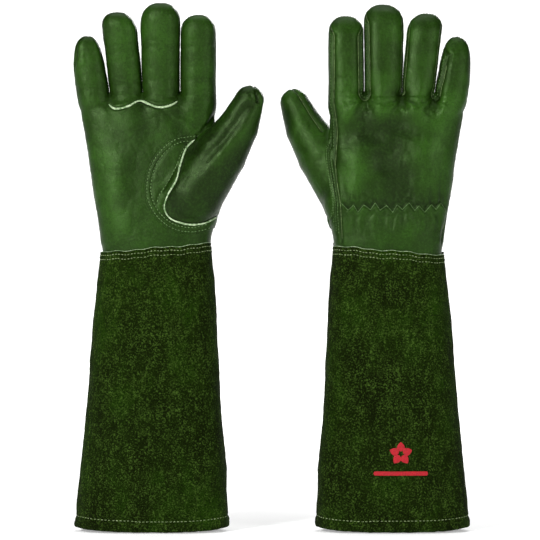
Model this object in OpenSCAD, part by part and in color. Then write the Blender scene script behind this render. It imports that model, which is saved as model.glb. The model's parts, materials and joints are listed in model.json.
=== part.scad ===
// A pair of long gardening gauntlets: a leather hand sewn into a flared suede cuff.
// Millimetres. +Z runs from the hem to the fingertips. Both gloves stand on their hems, side by side
// along X: glove a has its palm towards -Y, and glove b is the same glove turned half a turn about Z.

/* [Pair] */
// Distance between the centre lines of the two gloves
pair_pitch = 196; // [186:1:260]

/* [Cuff] */
// Height of the suede cuff
cuff_h = 230; // [200:1:260]
// Width of the cuff at the hem
hem_w = 126; // [118:1:136]
// Depth of the cuff at the hem
hem_d = 58; // [52:1:70]
// Thickness of the suede
suede_t = 1.6; // [1.2:0.1:2]

/* [Hand] */
// Width of the leather at the wrist
wrist_w = 88; // [84:1:92]
// Depth of the leather at the wrist
wrist_d = 45; // [42:1:48]
// Width across the knuckles
knuckle_w = 109; // [106:1:114]
// Depth at the knuckles
knuckle_d = 34; // [32:1:38]
// Height of the hand from the cuff to the webs between the fingers
hand_l = 122; // [116:1:130]
// Thickness of the leather
leather_t = 1.2; // [1:0.1:1.5]

/* [Fingers] */
// Width of the index finger
index_w = 26.4; // [24:0.1:27]
// Width of the middle finger
middle_w = 30.8; // [28:0.1:31]
// Width of the ring finger
ring_w = 26.4; // [24:0.1:27]
// Width of the little finger
little_w = 22; // [19:0.1:23]
// Length of the index finger beyond its bend
index_l = 50.5; // [44:0.5:56]
// Length of the middle finger beyond its bend
middle_l = 60; // [52:0.5:66]
// Length of the ring finger beyond its bend
ring_l = 57; // [50:0.5:62]
// Length of the little finger beyond its bend
little_l = 43.5; // [38:0.5:48]
// Width of the strips between the fingers
fourchette_w = 8; // [6:0.5:10]
// Furthest that a finger bends, in degrees
finger_flex = 70; // [30:1:75]

/* [Thumb] */
// Radius of the mound at the base of the thumb
mound_r = 27.5; // [26:0.5:28]
// Radius of the thumb at its bend
thumb_r = 17; // [15:0.5:18]
// Length of the thumb beyond its bend
thumb_l = 34; // [30:0.5:38]
// Furthest that the thumb bends, in degrees
thumb_flex = 45; // [20:1:50]

/* [Wrist] */
// Furthest that the wrist bends each way, in degrees
wrist_flex = 30; // [15:1:32]
// Height of the elastic strip
elastic_h = 8; // [6:0.5:10]

/* [Hidden] */
$fn = 48;
oval_n = 48;                     // corners of an oval section
oval_power = 2.5;                // 2 is an ellipse, more is squarer
joint_gap = 0.4;                 // clearance on each side of a bend
skin = 0.01;                     // thickness of a hull's end slices
big = 400;                       // reach of the cutting blocks
clear = 0.1;                     // gap between two layers that lie face to face

wrist_z = cuff_h + 15;
web_z = cuff_h + hand_l;
sleeve_z = cuff_h - 12;
wrist_x = 3.4;
knuckle_x = -4.5;

// Sections: [width, depth, x, z]
hem_section = [hem_w, hem_d, 0, 0];
cuff_top_section = [wrist_w + 2, wrist_d + 3, wrist_x, cuff_h];
sleeve_section = [wrist_w - 2.4, wrist_d - 1.6, wrist_x, sleeve_z];
wrist_section = [wrist_w - 1.4, wrist_d - 0.6, wrist_x, wrist_z];
knuckle_section = [knuckle_w, knuckle_d, knuckle_x, web_z];

// Fingers, in the order index, middle, ring, little
DIGITS = ["index", "middle", "ring", "little"];
digit_w = [index_w, middle_w, ring_w, little_w];
digit_l = [index_l, middle_l, ring_l, little_l];
digit_rise = [18, 18, 14, 11];   // height of the bend above the webs
digit_lean = [0, 0, -5, -6];     // degrees away from the thumb
middle_x = 7;
digit_gap = [1.6, 0, 2.2, 1.6];  // gap to the neighbour nearer the middle finger
ring_x = middle_x - middle_w / 2 - ring_w / 2 - digit_gap[2];
digit_x = [
    middle_x + middle_w / 2 + index_w / 2 + digit_gap[0],
    middle_x,
    ring_x,
    ring_x - ring_w / 2 - little_w / 2 - digit_gap[3]
];
// Which sides of a finger have a strip: -1 faces away from the thumb, 1 faces it
digit_sides = [[-1], [-1, 1], [-1, 1], [1]];

// Thumb
mound_at = [33.5, -7.5, cuff_h + 46];
thumb_at = [68, -18, cuff_h + 101];
thumb_tip_r = 9;
thumb_root_l = norm(thumb_at - mound_at);
thumb_forward = asin((mound_at.y - thumb_at.y) / thumb_root_l);
thumb_lean = atan2(thumb_at.x - mound_at.x, thumb_at.z - mound_at.z);

// Trim
hem_row_z = 9;
cuff_rows = [5, 9];              // depth of the two stitch rows below the cuff's top edge
thread_d = 0.8;
welt_t = 1.4;
patch_w = 13;
patch_t = 1;
elastic_z = wrist_z + 18;
elastic_t = 0.8;

// The names of the subparts of one glove
CUFF_PARTS = ["cuff_palm_panel", "cuff_back_panel", "wrist_sleeve", "cuff_seam_thread", "hem_thread"];
HAND_PARTS = [
    "palm_panel", "back_panel", "middle_ring_front", "finger_base_welt", "thumb_root", "thumb_welt",
    "palm_patch", "patch_thread", "wrist_elastic", "elastic_thread"
];
DIGIT_PARTS = ["front", "back", "fourchette"];
THUMB_PARTS = ["thumb_front", "thumb_back"];
GLOVES = ["a", "b"];

leather = "#3f7a3a";
suede = "#1f4a14";
raw_edge = "#a8cfa0";
thread = "#7fa878";

// ---- shapes ----

function oval(w, d) = [
    for (i = [0 : oval_n - 1])
        let (a = 360 * i / oval_n, c = cos(a), s = sin(a))
        [w / 2 * sign(c) * pow(abs(c), 2 / oval_power), d / 2 * sign(s) * pow(abs(s), 2 / oval_power)]
];

// The section a share t of the way from one section to another, and beyond
function between(low, high, t) = low + (high - low) * t;

module slice(section, grow, rise) {
    translate([section[2], 0, section[3] + rise])
        linear_extrude(height = skin)
            polygon(oval(section[0] + 2 * grow, section[1] + 2 * grow));
}

// A solid between two sections, grown outwards by grow
module loft(low, high, grow = 0) {
    hull() {
        slice(low, grow, 0);
        slice(high, grow, -skin);
    }
}

module hand_solid(grow = 0) {
    loft(wrist_section, knuckle_section, grow);
}

// A layer on the hand between two distances from its surface
module hand_layer(inner, outer) {
    difference() {
        hand_solid(outer);
        loft(
            between(wrist_section, knuckle_section, -0.02),
            between(wrist_section, knuckle_section, 1.02),
            inner
        );
    }
}

module cuff_layer(inner, outer) {
    difference() {
        loft(hem_section, cuff_top_section, outer);
        loft(
            between(hem_section, cuff_top_section, -0.02),
            between(hem_section, cuff_top_section, 1.02),
            inner
        );
    }
}

module front_half() {
    translate([-big / 2, -big, -big]) cube([big, big, 3 * big]);
}

module back_half() {
    translate([-big / 2, 0, -big]) cube([big, big, 3 * big]);
}

// A slab between two heights, on both sides of the glove
module band(z, h) {
    translate([-big / 2, -big / 2, z]) cube([big, big, h]);
}

// The block that a bend at the origin cuts away below it: front and back are the slopes in degrees
module below_bend(front, back) {
    rotate([90, 0, 90])
        linear_extrude(height = big, center = true)
            polygon([
                [-big / 2, joint_gap + big / 2 * tan(front)], [0, joint_gap],
                [big / 2, joint_gap + big / 2 * tan(back)], [big / 2, -big], [-big / 2, -big]
            ]);
}

module above_bend(front, back) {
    mirror([0, 0, 1]) below_bend(front, back);
}

// ---- cuff ----

module cuff_shell() {
    cuff_layer(-suede_t, 0);
}

module cuff_palm_panel() {
    color(suede) intersection() {
        cuff_shell();
        front_half();
    }
}

module cuff_back_panel() {
    color(suede) intersection() {
        cuff_shell();
        back_half();
    }
}

// The lower edge of the hand's leather, sewn inside the cuff
module wrist_sleeve() {
    color(leather) difference() {
        loft(sleeve_section, wrist_section);
        loft(
            between(sleeve_section, wrist_section, -0.1),
            between(sleeve_section, wrist_section, 1.1),
            -leather_t
        );
        translate([0, 0, wrist_z]) above_bend(wrist_flex / 2, wrist_flex / 2);
    }
}

module cuff_seam_thread() {
    color(thread) for (depth = cuff_rows) intersection() {
        cuff_layer(0, thread_d / 2);
        band(cuff_h - depth, thread_d);
    }
}

module hem_thread() {
    color(thread) intersection() {
        cuff_layer(0, thread_d / 2);
        band(hem_row_z, thread_d);
    }
}

// ---- hand ----

module at_digit(i) {
    translate([digit_x[i], 0, web_z + digit_rise[i]])
        rotate([0, digit_lean[i], 0])
            children();
}

module at_thumb() {
    translate(thumb_at)
        rotate([thumb_forward, thumb_lean, 0])
            children();
}

module thumb_solid(grow = 0) {
    translate(mound_at) sphere(r = mound_r + grow);
    at_thumb()
        translate([0, 0, -thumb_root_l])
            cylinder(r1 = mound_r - 0.5 + grow, r2 = thumb_r + grow, h = thumb_root_l);
}

module hand_inside() {
    loft(
        between(wrist_section, knuckle_section, -0.02),
        between(wrist_section, knuckle_section, 1 - leather_t / (web_z - wrist_z)),
        -leather_t
    );
}

module wrist_clearance() {
    translate([0, 0, wrist_z]) below_bend(wrist_flex / 2, wrist_flex / 2);
}

module hand_shell() {
    difference() {
        hand_solid();
        hand_inside();
        thumb_solid();
        wrist_clearance();
        for (i = [0 : 3]) at_digit(i)
            translate([0, 0, -digit_rise[i] - 12])
                cylinder(r = digit_w[i] / 2 - leather_t, h = 24);
    }
}

// The stretch of a finger between the webs and its bend
module finger_root(i) {
    difference() {
        at_digit(i) difference() {
            translate([0, 0, -digit_rise[i] - 4])
                cylinder(d = digit_w[i], h = digit_rise[i] + 8);
            translate([0, 0, -digit_rise[i] - 8])
                cylinder(r = digit_w[i] / 2 - leather_t, h = digit_rise[i] + 16);
            above_bend(finger_flex / 2, 0);
        }
        band(web_z - big, big);
    }
}

module palm_panel() {
    color(leather) intersection() {
        union() {
            hand_shell();
            finger_root(0);
            finger_root(3);
        }
        front_half();
    }
}

module middle_ring_front() {
    color(leather) for (i = [1, 2]) intersection() {
        finger_root(i);
        front_half();
    }
}

module back_panel() {
    color(leather) intersection() {
        union() {
            hand_shell();
            for (i = [0 : 3]) finger_root(i);
        }
        back_half();
    }
}

// The pale seam across the palm under the middle and ring fingers
module finger_base_welt() {
    color(raw_edge) intersection() {
        hand_layer(0, welt_t);
        front_half();
        translate([digit_x[2] - ring_w / 2, -big / 2, web_z - 7])
            cube([digit_x[1] + middle_w / 2 - digit_x[2] + ring_w / 2, big, welt_t]);
    }
}

module thumb_root() {
    color(leather) difference() {
        thumb_solid();
        thumb_solid(-leather_t);
        hand_inside();
        wrist_clearance();
        at_thumb() above_bend(thumb_flex / 2, 0);
    }
}

module thumb_welt() {
    color(raw_edge) difference() {
        intersection() {
            hand_layer(0, welt_t);
            front_half();
            thumb_solid(welt_t);
        }
        thumb_solid();
        wrist_clearance();
    }
}

// The crescent that reinforces the palm beside the thumb
module palm_patch_outline(grow) {
    translate([-patch_w + mound_r / 3, 0, -patch_w / 4]) thumb_solid(grow);
}

module palm_patch() {
    color(leather) difference() {
        intersection() {
            hand_layer(0, patch_t);
            front_half();
            band(wrist_z + 7, big);
            palm_patch_outline(patch_w / 2);
        }
        thumb_solid(welt_t);
    }
}

module patch_thread() {
    color(thread) difference() {
        intersection() {
            hand_layer(patch_t, patch_t + thread_d / 2);
            front_half();
            band(wrist_z + 9, big);
            palm_patch_outline(patch_w / 2 - 1);
        }
        palm_patch_outline(patch_w / 2 - 1 - thread_d);
        thumb_solid(welt_t + 1);
    }
}

module wrist_elastic() {
    color("#dcdccf") intersection() {
        hand_layer(-leather_t - clear - elastic_t, -leather_t - clear);
        translate([-big / 2, wrist_d / 4, elastic_z]) cube([big, big, elastic_h]);
    }
}

module elastic_thread() {
    color(thread) difference() {
        intersection() {
            hand_layer(0, thread_d / 2);
            translate([-big / 2, wrist_d / 4, elastic_z + elastic_h / 2 - thread_d / 2])
                cube([big, big, thread_d]);
        }
        thumb_solid(clear);
    }
}

// ---- fingers ----

module bullet(r, l) {
    cylinder(r = r, h = l - r);
    translate([0, 0, l - r]) sphere(r = r);
}

module stall(i) {
    r = digit_w[i] / 2;
    difference() {
        bullet(r, digit_l[i]);
        translate([0, 0, -1]) bullet(r - leather_t, digit_l[i] + 1 - leather_t);
        below_bend(finger_flex / 2, 0);
    }
}

module strip_block(i, side) {
    translate([side < 0 ? -big : 0, -fourchette_w / 2, -big])
        cube([big, fourchette_w, big + digit_l[i] - digit_w[i] / 2]);
}

module digit_front(i) {
    color(leather) at_digit(i) difference() {
        stall(i);
        back_half();
        for (side = digit_sides[i]) strip_block(i, side);
    }
}

module digit_back(i) {
    color(leather) at_digit(i) difference() {
        stall(i);
        front_half();
        for (side = digit_sides[i]) strip_block(i, side);
    }
}

module digit_fourchette(i) {
    color(leather) at_digit(i) for (side = digit_sides[i]) intersection() {
        stall(i);
        strip_block(i, side);
    }
}

module thumb_tip(grow) {
    cone_l = thumb_l - thumb_tip_r;
    cylinder(r1 = thumb_r + grow, r2 = thumb_tip_r + 0.6 + grow, h = cone_l);
    translate([0, 0, cone_l]) sphere(r = thumb_tip_r + grow);
}

module thumb_stall() {
    difference() {
        thumb_tip(0);
        translate([0, 0, -skin]) thumb_tip(-leather_t);
        below_bend(thumb_flex / 2, 0);
    }
}

module thumb_front() {
    color(leather) at_thumb() difference() {
        thumb_stall();
        back_half();
    }
}

module thumb_back() {
    color(leather) at_thumb() difference() {
        thumb_stall();
        front_half();
    }
}

// ---- the pair ----

module place(g) {
    side = g == "a" ? -1 : 1;
    translate([side * pair_pitch / 2, 0, 0])
        rotate([0, 0, g == "a" ? 0 : 180])
            children();
}

for (g = GLOVES) {
    place(g) cuff_palm_panel();
    place(g) cuff_back_panel();
    place(g) wrist_sleeve();
    place(g) cuff_seam_thread();
    place(g) hem_thread();
    place(g) palm_panel();
    place(g) back_panel();
    place(g) middle_ring_front();
    place(g) finger_base_welt();
    place(g) thumb_root();
    place(g) thumb_welt();
    place(g) palm_patch();
    place(g) patch_thread();
    place(g) wrist_elastic();
    place(g) elastic_thread();
    place(g) thumb_front();
    place(g) thumb_back();
    for (i = [0 : 3]) {
        place(g) digit_front(i);
        place(g) digit_back(i);
        place(g) digit_fourchette(i);
    }
}
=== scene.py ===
"""The looks of a pair of gardening gauntlets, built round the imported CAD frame.

One glove is worked out in millimetres in its own frame: x towards the thumb, y towards the back of the
hand, z from the hem to the fingertips. The frame says where its joints and ends are, and the finished
pieces are then placed twice, once for each glove.
"""

import json
import math

import bmesh
import bpy
import numpy as np
import openvdb
from mathutils import Matrix, Vector, noise
from mathutils.bvhtree import BVHTree


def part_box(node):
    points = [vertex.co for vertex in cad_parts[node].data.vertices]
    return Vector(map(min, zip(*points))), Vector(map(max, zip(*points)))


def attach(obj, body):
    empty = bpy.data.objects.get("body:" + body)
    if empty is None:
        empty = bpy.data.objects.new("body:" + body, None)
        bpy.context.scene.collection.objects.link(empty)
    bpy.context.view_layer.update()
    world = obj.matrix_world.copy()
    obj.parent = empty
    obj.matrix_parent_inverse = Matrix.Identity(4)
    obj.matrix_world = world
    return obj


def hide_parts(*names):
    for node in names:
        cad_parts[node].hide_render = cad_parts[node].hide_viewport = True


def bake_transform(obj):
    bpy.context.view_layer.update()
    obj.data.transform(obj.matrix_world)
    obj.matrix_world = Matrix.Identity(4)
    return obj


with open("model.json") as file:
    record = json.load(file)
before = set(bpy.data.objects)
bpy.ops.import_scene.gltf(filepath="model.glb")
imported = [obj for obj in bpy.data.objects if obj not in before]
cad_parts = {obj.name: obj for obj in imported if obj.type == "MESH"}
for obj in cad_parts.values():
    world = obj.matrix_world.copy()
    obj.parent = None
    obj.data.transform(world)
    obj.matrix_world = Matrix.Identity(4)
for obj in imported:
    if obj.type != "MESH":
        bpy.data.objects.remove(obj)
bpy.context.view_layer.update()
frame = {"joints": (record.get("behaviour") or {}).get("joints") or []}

MM = 0.001
GLOVES = {"a": 0.0, "b": math.pi}  # glove: its turn about Z
JOINTS = {j["name"]: j for j in frame["joints"]}

# ---------------------------------------------------------------- places from the frame


def glove_matrix(glove):
    """From a glove's own frame, in millimetres, to the row frame, in metres."""
    low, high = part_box(f"{glove}_hem_thread")
    return (
        Matrix.Translation(((low.x + high.x) / 2, 0, 0))
        @ Matrix.Rotation(GLOVES[glove], 4, "Z")
        @ Matrix.Scale(MM, 4)
    )


TO_ROW = {g: glove_matrix(g) for g in GLOVES}
TO_GLOVE = TO_ROW["a"].inverted()


def own(point):
    """A point of the row frame in glove a's own frame."""
    return np.array(TO_GLOVE @ Vector(point))


def own_box(node):
    return [own(p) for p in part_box("a_" + node)]


CUFF_TOP = own_box("cuff_back_panel")[1][2]
WRIST = own(JOINTS["a_wrist_bend"]["pos_m"])
WRIST_ZONE = 10.0  # half the height over which the wrist's leather bends
SLEEVE_LOW = own_box("wrist_sleeve")[0][2]
WEB_Z = own_box("middle_ring_front")[0][2]
HEM_W, HEM_D = (own_box("cuff_back_panel")[1] - own_box("cuff_palm_panel")[0])[:2]
LEATHER, SUEDE = 1.2, 1.6

# Of each finger: its width at the bend and near the tip, how far its middle lies from the hinge's, how it
# leans and curves on the way up, how far its bend zone reaches, how high its rounded end is, and how far
# its tip lies below the frame's
FINGER_SHAPE = {
    "index": (29.4, 28.8, 0.5, 0.0, 0.0, 12.5, 18, 0.4),
    "middle": (31.0, 32.4, 0.2, 0.0, 0.0, 12.5, 18, 0.4),
    "ring": (27.4, 28.6, 2.0, -0.11, -0.0002, 12.5, 17, 0.4),
    "little": (26.8, 24.4, 0.9, -0.165, 0.0017, 11.5, 25, 3.0),
}
FINGERS = {}
for name, (root, end, shift, slope, curve, zone, cap, down) in FINGER_SHAPE.items():
    joint = JOINTS[f"a_{name}_bend"]
    hinge = own(joint["pos_m"])
    FINGERS[name] = {
        "x": hinge[0] + shift,
        "z": hinge[2],
        "lean": math.atan(-joint["axis"][2] / joint["axis"][0]),
        "slope": slope,
        "curve": curve,
        "root": root / 2,
        "end": end / 2,
        "tip": own_box(f"{name}_back")[1][2] - down,
        "zone": zone,
        "cap": cap,
    }
FINGER_GAP = 0.44  # neighbouring fingers stay this far apart
FAR = 99.0  # stands for a distance too large to matter
NEIGHBOURS = list(zip(FINGERS, list(FINGERS)[1:]))
THUMB = own(JOINTS["a_thumb_bend"]["pos_m"])
THUMB_ZONE = 12.0

# ---------------------------------------------------------------- small tools


def ease(value, low, high):
    """0 below low, 1 above high, smooth between."""
    t = np.clip((value - low) / (high - low), 0, 1)
    return t * t * (3 - 2 * t)


def merge(a, b, k):
    """The smooth union of two distances."""
    return np.minimum(a, b) - np.maximum(k - np.abs(a - b), 0) ** 2 / (4 * k)


def hump(value, width):
    return np.exp(-((value / width) ** 2))


def unit(vectors):
    return vectors / np.maximum(np.linalg.norm(vectors, axis=-1, keepdims=True), 1e-9)


def spline(points, spacing=0.5):
    """A smooth curve through the points (Catmull-Rom), with points about spacing apart."""
    p = np.array(points, float)
    p = np.vstack([2 * p[0] - p[1], p, 2 * p[-1] - p[-2]])
    t = np.linspace(0, 1, 24, endpoint=False)[:, None]
    runs = []
    for a, b, c, d in zip(p, p[1:], p[2:], p[3:]):
        runs.append(
            b
            + 0.5 * t * (c - a)
            + t**2 * (a - 2.5 * b + 2 * c - 0.5 * d)
            + 0.5 * t**3 * (3 * (b - c) + d - a)
        )
    return even(np.vstack([*runs, p[-2:-1]]), spacing)


def steps(points):
    """The distances from each point of a line to the next."""
    return np.linalg.norm(np.diff(points, axis=0), axis=1)


def run_along(points):
    """How far along a line each of its points is."""
    return np.concatenate([[0], np.cumsum(steps(points))])


def even(points, spacing):
    """The same line with evenly spaced points."""
    along = run_along(points)
    count = max(2, int(round(along[-1] / spacing)) + 1)
    at = np.linspace(0, along[-1], count)
    return np.stack([np.interp(at, along, points[:, i]) for i in range(points.shape[1])], 1)


def smooth_line(points, rounds):
    for _ in range(rounds):
        points[1:-1] = (points[:-2] + 2 * points[1:-1] + points[2:]) / 4
    return points


def inside_distance(x, z, outline):
    """Distance from points of the x, z plane to a closed outline, positive inside."""
    nearest = np.full(x.shape, 1e9)
    inside = np.zeros(x.shape, bool)
    for (ax, az), (bx, bz) in zip(outline, np.roll(outline, -1, axis=0)):
        ex, ez = bx - ax, bz - az
        t = np.clip(((x - ax) * ex + (z - az) * ez) / (ex * ex + ez * ez + 1e-12), 0, 1)
        nearest = np.minimum(nearest, np.hypot(x - ax - t * ex, z - az - t * ez))
        crosses = (az > z) != (bz > z)
        inside ^= crosses & (x < ax + (z - az) * ex / (ez if abs(ez) > 1e-9 else 1e-9))
    return np.where(inside, nearest, -nearest)


def line_distance(x, z, line):
    """Distance from points of the x, z plane to a line given by close points."""
    nearest = np.full(x.shape, 1e9)
    for a, b in line:
        nearest = np.minimum(nearest, (x - a) ** 2 + (z - b) ** 2)
    return np.sqrt(nearest)


def cloud(points, size, seed=0.0, octaves=3):
    """Smooth noise of about -1 to 1, with features of the given size."""
    return np.array(
        [
            noise.fractal(Vector(p) / size + Vector((seed, seed * 0.7, 0)), 0.9, 2.1, octaves)
            for p in points
        ]
    )


# ---------------------------------------------------------------- the hand as a distance field


def blob(dx, dy, dz, a, b, c, power):
    """Roughly the distance to a rounded column with half sides a and b and an end that is c high."""
    u, v, w = np.abs(dx) / a, np.abs(dy) / b, np.maximum(dz, 0) / c
    total = u**power + v**power + w**power + 1e-9
    slope = np.sqrt(
        (u ** (power - 1) / a) ** 2 + (v ** (power - 1) / b) ** 2 + (w ** (power - 1) / c) ** 2
    )
    slope = slope * total ** (1 / power - 1)
    return (total ** (1 / power) - 1) / np.maximum(slope, 1e-3)


def finger_x(f, z):
    """Where a finger's centre line is at height z."""
    rise = np.maximum(z - f["z"], -24)
    return f["x"] + f["slope"] * rise + f["curve"] * rise**2


def finger_half(f, z):
    """Half the finger's width at height z."""
    return f["root"] + (f["end"] - f["root"]) * ease(z, f["z"] - 6, f["tip"] - 6)


def finger_y(z):
    """The fingers curl a little towards the palm."""
    return -0.0010 * np.maximum(z - WEB_Z, 0) ** 2


def finger(f, x, y, z):
    half = finger_half(f, z) * (1 - 0.45 * (1 - ease(z, WEB_Z - 34, WEB_Z - 3)))
    top = f["tip"] - f["cap"]
    return blob(x - finger_x(f, z), y - finger_y(z), z - top, half, half * 0.86, f["cap"], 2.35)


def hand_edges(z):
    """The little finger's side and the thumb's side of the palm at height z."""
    rise = z - WRIST[2]
    tuck = 0.7 * (1 - ease(z, CUFF_TOP - 1, CUFF_TOP + 6))
    left = -43.2 - 0.130 * rise - 0.0002 * rise**2
    return left + tuck, 48.0 + 0.034 * rise + 6.4 * hump(rise - 20, 17) - tuck


def palm(x, y, z):
    left, right = hand_edges(z)
    depth = np.interp(z, [SLEEVE_LOW, CUFF_TOP, CUFF_TOP + 6, 300, WEB_Z], [21.2, 21.4, 21.8, 19.5, 14.6])
    top = WEB_Z - 15 + 3 * ease(x, 0, 40)
    return blob(x - (left + right) / 2, y, z - top, (right - left) / 2, depth, 16, 2.6)


def round_cone(p, a, b, ra, rb):
    """Exact distance to the hull of two balls."""
    ba = b - a
    l2 = ba @ ba
    rr = ra - rb
    a2 = l2 - rr * rr
    pa = p - a
    along = pa @ ba
    beyond = along - l2
    x2 = ((pa * l2 - along[:, None] * ba) ** 2).sum(1)
    y2, z2 = along**2 * l2, beyond**2 * l2
    k = np.sign(rr) * rr * rr * x2
    middle = (np.sqrt(x2 * a2 / l2) + along * rr) / l2 - ra
    far = np.sqrt(x2 + z2) / l2 - rb
    near = np.sqrt(x2 + y2) / l2 - ra
    found = np.where(np.sign(along) * a2 * y2 < k, near, middle)
    return np.where(np.sign(beyond) * a2 * z2 > k, far, found)


# Balls that the thumb is drawn over, from the mound to the tip: x, y, z from the bend, and the radius
THUMB_BALLS = [
    (-34.3, 10, -56.9, 24.7),
    (-12.2, 4, -25, 21.3),
    (2.2, -0.5, -3.4, 16.1),
    (11.7, -4, 19.1, 11.4),
]


def thumb(x, y, z):
    p = np.stack([x, (y - THUMB[1]) / 0.92 + THUMB[1], z], 1)
    found = None
    for (*a, ra), (*b, rb) in zip(THUMB_BALLS, THUMB_BALLS[1:]):
        part = round_cone(p, THUMB + a, THUMB + b, ra, rb)
        found = part if found is None else merge(found, part, 1.2)
    return found


def field(p):
    """Roughly the distance from points (n, 3) to the skin of the whole hand."""
    x, y, z = p.T
    body = merge(palm(x, y, z), thumb(x, y, z), 4.5)
    high = z > WEB_Z - 36
    xs, ys, zs = x[high], y[high], z[high]
    gap = 0.3 + 3.9 * (1 - ease(zs, WEB_Z - 2, WEB_Z + 8))
    apart = FINGER_GAP / 2 - 9 * (1 - ease(zs, WEB_Z - 2, WEB_Z + 5))
    stalls = None
    for name, f in FINGERS.items():
        part = finger(f, xs, ys, zs)
        for pair in NEIGHBOURS:
            if name in pair:
                way = 1 if name == pair[0] else -1
                part = np.maximum(part, apart - way * (xs - between(*pair, zs)))
        stalls = part if stalls is None else merge(stalls, part, gap)
    body[high] = merge(body[high], stalls, 5.5 - 4.0 * ease(np.abs(xs - 5), 38, 46))
    return body


def gradient(p, reach=0.5):
    parts = []
    for axis in np.eye(3) * reach:
        parts.append((field(p + axis) - field(p - axis)) / (2 * reach))
    return np.stack(parts, 1)


def settle(p, rounds):
    """Moves points onto the skin."""
    for _ in range(rounds):
        g = gradient(p)
        p = p - (field(p) / np.maximum((g * g).sum(1), 0.05))[:, None] * g
    return p


# ---------------------------------------------------------------- where the leather is cut

# Lines across the palm as seen from the front: x and z in millimetres
FINGER_WELT = [(-35, 347), (-29, 343.5), (-19, 345.5), (-9.5, 350), (4, 345), (13, 345.5), (21, 349.5)]
THUMB_WELT = [
    (35, 318.5), (28, 311), (24, 299), (20.5, 285), (13, 272), (10.5, 262), (16, 254), (29, 249.5),
    (42, 250.5), (53, 256),
]  # fmt: skip
PATCH_ROW = [
    (36, 321.5), (18, 317.5), (4.5, 305), (-2.5, 289), (-3, 272), (4, 257), (17, 246.5), (33, 243.5),
    (49, 247.5),
]  # fmt: skip
PATCH_INNER_ROW = [(32, 318), (25, 309), (19, 293), (12, 281), (6.5, 273), (4.5, 266)]
TIP_FOLD = [(82, 362.5), (84.2, 358), (85.8, 353), (86.4, 348.5)]
# Where the thumb ends on the back, and where the palm's leather wraps round to the back: z to x
THUMB_BACK = [
    (240, 66), (249, 54), (256, 48), (268, 46.2), (290, 50), (310, 55.5), (324, 54), (334, 52),
    (346, 57), (430, 64),
]  # fmt: skip
WRAP = [(214, 41.5), (240, 42), (265, 43), (282, 45.5), (306, 48.2), (335, 49), (350, 62)]

WELT_LINE = spline(THUMB_WELT)
PATCH_LINE = spline(PATCH_ROW)
THUMB_OUTLINE = np.vstack(
    [[(60, 430), (56, 347), (46.5, 332.5)], WELT_LINE[::4], [(130, 250), (130, 430)]]
)
BACK_SEAM, FRONT_SEAM = 9.5, -4.6  # y of the finger seams
THUMB_AXIS = unit(np.array(THUMB_BALLS[3][:3]) - np.array(THUMB_BALLS[1][:3]))
THUMB_SIDE = unit(np.cross((0.0, 1.0, 0.0), THUMB_AXIS))


def beside(line, distance):
    """A flat line at a distance to the left of another, looking along it."""
    along = unit(np.gradient(line, axis=0))
    return line + np.stack([-along[:, 1], along[:, 0]], 1) * distance


PATCH_OUTLINE = np.vstack([beside(PATCH_LINE, -2.0)[::4], [(62, 262)], beside(WELT_LINE, 4)[::-4]])


def thumb_along(p):
    return (p - THUMB) @ THUMB_AXIS


def nearest_finger(x, z):
    """The finger that is nearest and reaches so high, as an index into FINGERS."""
    gaps = []
    for f in FINGERS.values():
        too_low = z > f["tip"] + 0.5
        gaps.append(np.abs(x - finger_x(f, z)) - finger_half(f, z) + FAR * too_low)
    return np.argmin(gaps, axis=0)


def finger_along(f, p):
    return (p[:, 0] - f["x"]) * math.sin(f["lean"]) + (p[:, 2] - f["z"]) * math.cos(f["lean"])


def between(a, b, z):
    """The line half way between two neighbouring fingers, at height z."""
    a, b = FINGERS[a], FINGERS[b]
    return (finger_x(a, z) - finger_half(a, z) + finger_x(b, z) + finger_half(b, z)) / 2


def back_seam(x, z):
    """y of the seam down each side of the fingers: further in where more of the strip shows behind."""
    deep = BACK_SEAM - 3.8 * ease(finger_x(FINGERS["middle"], z) - x, -3, 3)
    deep += 3.4 * ease(between("ring", "little", z) - x, -2.5, 2.5)
    inner = ease(x - finger_x(FINGERS["little"], z), -4, 4)
    return deep * inner - 7.0 * ease(z, 362, 386) * (1 - inner), 1.5 * inner - 4.0 * (1 - inner)


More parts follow.
